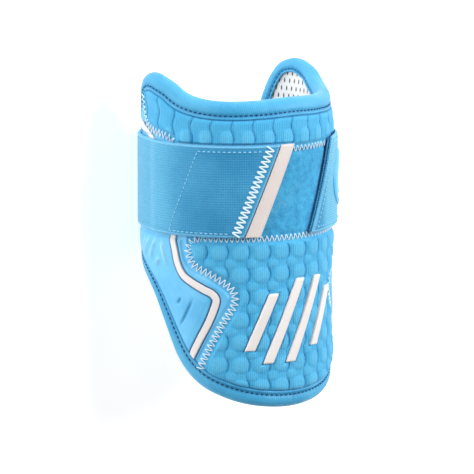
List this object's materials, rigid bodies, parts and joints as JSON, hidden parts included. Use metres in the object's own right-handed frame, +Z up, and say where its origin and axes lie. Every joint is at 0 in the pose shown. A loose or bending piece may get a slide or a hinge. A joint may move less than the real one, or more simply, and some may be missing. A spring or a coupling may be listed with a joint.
{
  "type": "baseball elbow guard",
  "caption": "C-shaped padded elbow guard with a quilted front, moulded side panels, rolled edge binding and a wide elastic hook-and-loop strap.",
  "frame": {"origin": "on the surface it rests on, below the middle of the guard's overall size", "axes": "+X across the arm, +Y along the arm towards the upper arm's end, +Z up, out of the padded front, with the flat back of the strap on z = 0"},
  "size_m": [0.1215, 0.198, 0.1029],
  "materials": {
    "pad_foam": "soft closed-cell foam with a knitted face, seen only in the gaps between panels",
    "lining_mesh": "white perforated mesh",
    "binding_tape": "smooth folded edge tape with a stitched inner edge",
    "quilted_fabric": "matt fabric pressed into rounded cells",
    "loop_pile": "brushed loop pile",
    "moulded_panel": "satin, smooth moulded face with shallow ridges",
    "white_trim": "satin white moulded print",
    "elastic_webbing": "woven elastic with fine ribs along its length",
    "hook_tape": "matt field of fine hooks",
    "moulded_badge": "satin raised badge"
  },
  "bodies": {
    "root": {"pad_shell": "pad_foam", "mesh_lining": "lining_mesh", "edge_binding": "binding_tape", "quilted_front": "quilted_fabric", "quilted_top": "quilted_fabric", "loop_panel": "loop_pile", "side_panel_left": "moulded_panel", "side_panel_right": "moulded_panel", "accent_strip_left": "white_trim", "accent_strip_right": "white_trim", "strap": "elastic_webbing", "hook_patch_left": "hook_tape", "hook_patch_right": "hook_tape", "pull_tab": "white_trim", "strap_badge": "moulded_badge", "front_bar_1": "white_trim", "front_bar_2": "white_trim", "front_bar_3": "white_trim", "front_bar_4": "white_trim"}
  },
  "joints": []
}
